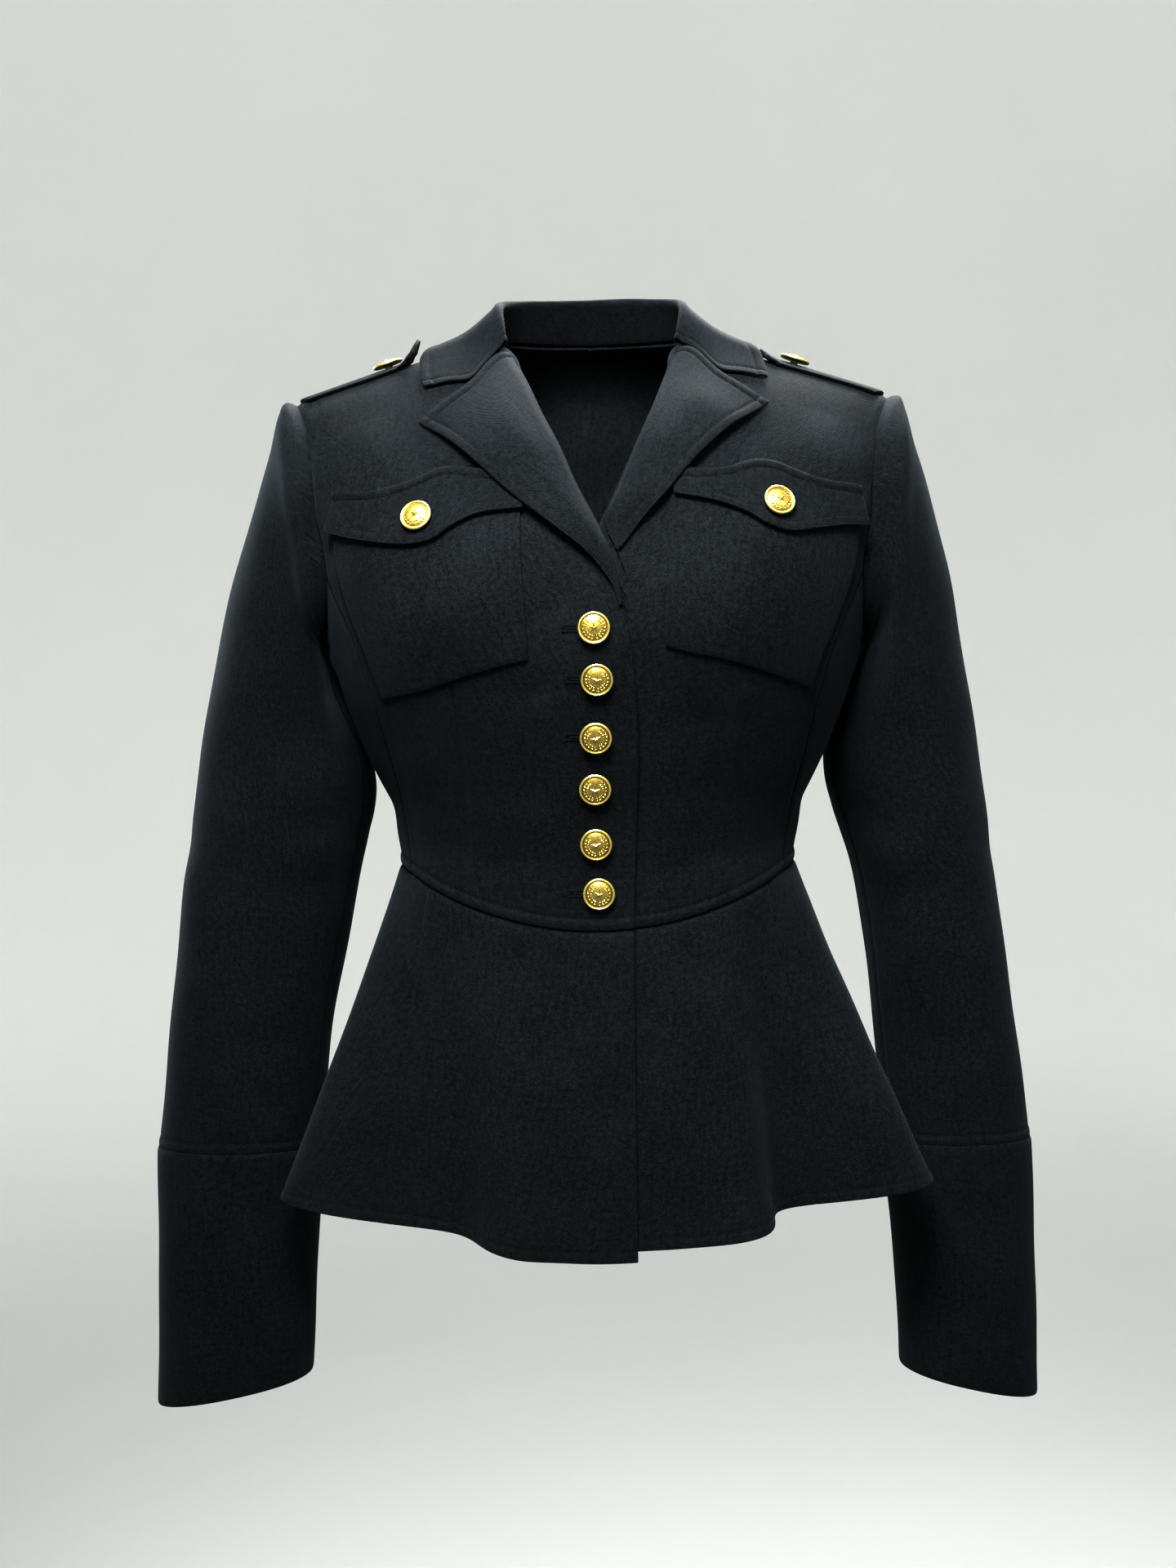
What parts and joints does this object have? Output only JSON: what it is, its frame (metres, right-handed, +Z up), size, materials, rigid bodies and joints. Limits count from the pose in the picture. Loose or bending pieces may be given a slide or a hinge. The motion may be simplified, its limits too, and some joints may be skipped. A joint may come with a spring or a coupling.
{
  "type": "peplum jacket",
  "caption": "Fitted jacket with notched lapels, flap pockets, shoulder straps, domed metal buttons and a flared, fluted peplum, in its hollow worn form.",
  "frame": {"origin": "the nape, where the back neck seam crosses the centre back on the jacket's outside", "axes": "+Z up along the wearer's spine, -Y to the front of the jacket, +X to the wearer's left"},
  "size_m": [0.5795, 0.2789, 0.7201],
  "materials": {
    "cloth": "matt charcoal twill with a soft nap",
    "button_metal": "satin, lightly polished on the rims"
  },
  "bodies": {
    "root": {"front_right": "cloth", "side_right": "cloth", "back_right": "cloth", "lapel_right": "cloth", "peplum_front_right": "cloth", "peplum_side_right": "cloth", "sleeve_upper_right": "cloth", "sleeve_under_right": "cloth", "cuff_right": "cloth", "pocket_right": "cloth", "flap_right": "cloth", "epaulette_right": "cloth", "front_left": "cloth", "side_left": "cloth", "back_left": "cloth", "lapel_left": "cloth", "peplum_front_left": "cloth", "peplum_side_left": "cloth", "sleeve_upper_left": "cloth", "sleeve_under_left": "cloth", "cuff_left": "cloth", "pocket_left": "cloth", "flap_left": "cloth", "epaulette_left": "cloth", "peplum_back": "cloth", "collar": "cloth", "button_front_1": "button_metal", "button_front_2": "button_metal", "button_front_3": "button_metal", "button_front_4": "button_metal", "button_front_5": "button_metal", "button_front_6": "button_metal", "button_pocket_right": "button_metal", "button_epaulette_right": "button_metal", "button_pocket_left": "button_metal", "button_epaulette_left": "button_metal"}
  },
  "joints": []
}
